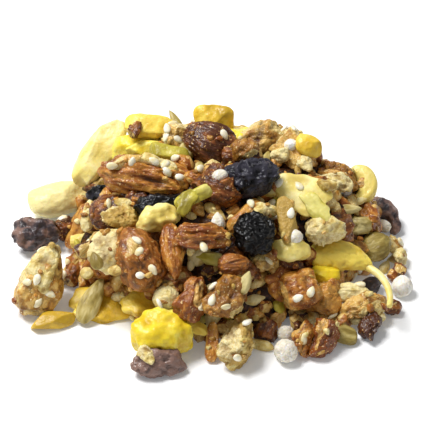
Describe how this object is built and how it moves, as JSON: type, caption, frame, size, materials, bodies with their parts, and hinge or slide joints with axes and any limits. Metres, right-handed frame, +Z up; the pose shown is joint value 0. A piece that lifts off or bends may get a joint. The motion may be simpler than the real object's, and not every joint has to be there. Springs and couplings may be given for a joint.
{
  "type": "heap of granola",
  "caption": "Loose heap of granola: dried fruit, nuts, seeds and puffed grain in small honeyed clusters, lying as tipped out.",
  "frame": {"origin": "on the floor under the middle of the heap's box", "axes": "+X to the right along the heap's longest side, +Y to the back, +Z up"},
  "size_m": [0.1107, 0.09, 0.0353],
  "materials": {
    "mango_yellow": "moist dried mango, satin",
    "berry_skin": "wrinkled dark skin, satin",
    "fruit_purple": "dried dark fruit, satin",
    "fruit_gold": "golden dried fruit, satin",
    "mango_pale": "pale dried fruit, satin",
    "fruit_green": "green-yellow candied fruit, satin",
    "nut_cream": "bare nut meat and kernels, matte",
    "seed_green": "hulled pumpkin seed, matte",
    "caramel": "amber caramel glaze, glossy",
    "nut_skin": "brown nut skin under a thin glaze, satin",
    "nut_honey": "nut meat under honey glaze, glossy",
    "puffed_grain": "puffed grain, matte",
    "granola_crumbs": "crumbs and clusters under honey glaze, satin"
  },
  "bodies": {
    "root": {"mango_lump": "mango_yellow", "dried_berry_middle": "berry_skin", "dried_berry_top": "berry_skin", "raisin_left": "fruit_purple", "golden_fruit": "fruit_gold", "mango_block": "mango_pale", "mango_strip": "mango_pale", "mango_bright": "mango_yellow", "mango_gold_back": "fruit_gold", "mango_yellow_back": "fruit_gold", "mango_green_back": "fruit_green", "mango_right": "mango_yellow", "fruit_flake": "mango_pale", "fruit_strip_green": "fruit_green", "fruit_strip_tan": "nut_cream", "fruit_chunk_pale": "mango_pale", "fruit_chunk_green": "mango_pale", "raisin_under_pecan": "berry_skin", "raisin_middle": "berry_skin", "raisin_right": "fruit_purple", "fruit_purple": "fruit_purple", "mango_sheet_left": "fruit_gold", "mango_sheet_middle": "fruit_gold", "mango_slab_left": "fruit_gold", "fruit_strip_gold": "fruit_gold", "curled_peel": "mango_pale", "fruit_bit_front": "seed_green", "pecan": "caramel", "almond_top": "nut_skin", "almond_left": "nut_skin", "almond_cluster_front": "nut_skin", "almond_wedge": "caramel", "nut_cluster_left": "nut_honey", "walnut_red": "caramel", "caramel_cluster": "caramel", "nut_honey_front": "nut_honey", "nut_rough_front": "caramel", "nut_cream_front": "nut_cream", "walnut_right": "nut_honey", "walnut_pale": "nut_cream", "nut_green_right": "seed_green", "nut_cluster_back": "nut_honey", "nut_cluster_back_right": "nut_honey", "nut_red_left": "nut_skin", "nut_amber_front": "caramel", "nut_curl_front": "caramel", "nut_brown_middle": "nut_skin", "nut_cone_right": "nut_skin", "nut_bit_right": "nut_skin", "nut_tan_right": "nut_cream", "pumpkin_seed_left": "seed_green", "kernel_right": "nut_cream", "nut_ball_cream": "nut_cream", "puff_ball_front": "puffed_grain", "puff_ball_right": "puffed_grain", "granola_heap": "granola_crumbs"}
  },
  "joints": []
}
